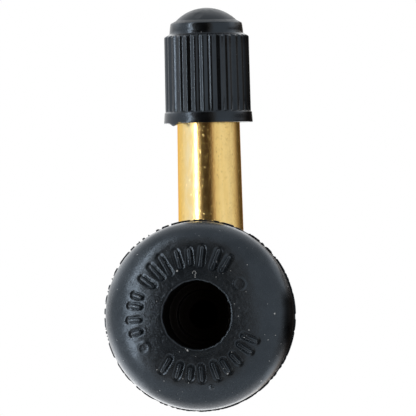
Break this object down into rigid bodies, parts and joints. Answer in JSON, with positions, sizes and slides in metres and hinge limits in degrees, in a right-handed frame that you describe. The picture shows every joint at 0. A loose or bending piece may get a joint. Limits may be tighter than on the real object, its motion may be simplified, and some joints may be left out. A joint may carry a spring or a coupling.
{
  "type": "tyre valve",
  "caption": "Bent snap-in tyre valve: domed rubber foot with an air inlet, upright brass stem with a sprung valve core, and a ribbed black screw-on dust cap.",
  "frame": {"origin": "centre of the rim hole, on the plane where the rubber foot seats against the rim", "axes": "+Y out of the tyre along the axis of the rim hole, +Z along the upright stem towards the cap, +X to the right as seen from the air inlet"},
  "size_m": [0.0222, 0.0251, 0.0473],
  "materials": {
    "rubber_base": "satin moulded black rubber",
    "stem": "turned bright brass",
    "cap": "satin moulded black plastic",
    "cap_seal": "matt rubber",
    "core_plug": "turned brass",
    "core_barrel": "turned brass",
    "core_gasket": "smooth red seal",
    "core_pin": "drawn brass wire",
    "core_spring": "drawn spring wire",
    "core_cup": "pressed brass",
    "core_washer": "matt rubber"
  },
  "bodies": {
    "valve": {"rubber_base": "rubber_base", "stem": "stem", "core_plug": "core_plug", "core_barrel": "core_barrel", "core_gasket": "core_gasket", "core_spring": "core_spring"},
    "cap_carrier": {"cap_seal": "cap_seal"},
    "cap": {"cap": "cap"},
    "core": {"core_pin": "core_pin", "core_cup": "core_cup", "core_washer": "core_washer"}
  },
  "joints": [
    {"name": "cap_lift", "type": "slide", "parent": "valve", "child": "cap_carrier", "axis": [0, 0, 1], "range_m": [0, 0.0119]},
    {"name": "cap_turn", "type": "hinge", "parent": "cap_carrier", "child": "cap", "pos_m": [0, 0.015, 0.0292], "axis": [0, 0, 1], "range_deg": [0, 5400]},
    {"name": "pin_press", "type": "slide", "parent": "valve", "child": "core", "axis": [0, 0, -1], "range_m": [0, 0.0015], "stiffness_N_per_m": 1500, "springref_m": -0.002, "deforming": ["core_spring"]}
  ],
  "couplings": [
    {"joint": "cap_turn", "follows": "cap_lift", "rad_per_m": 7915.8}
  ]
}
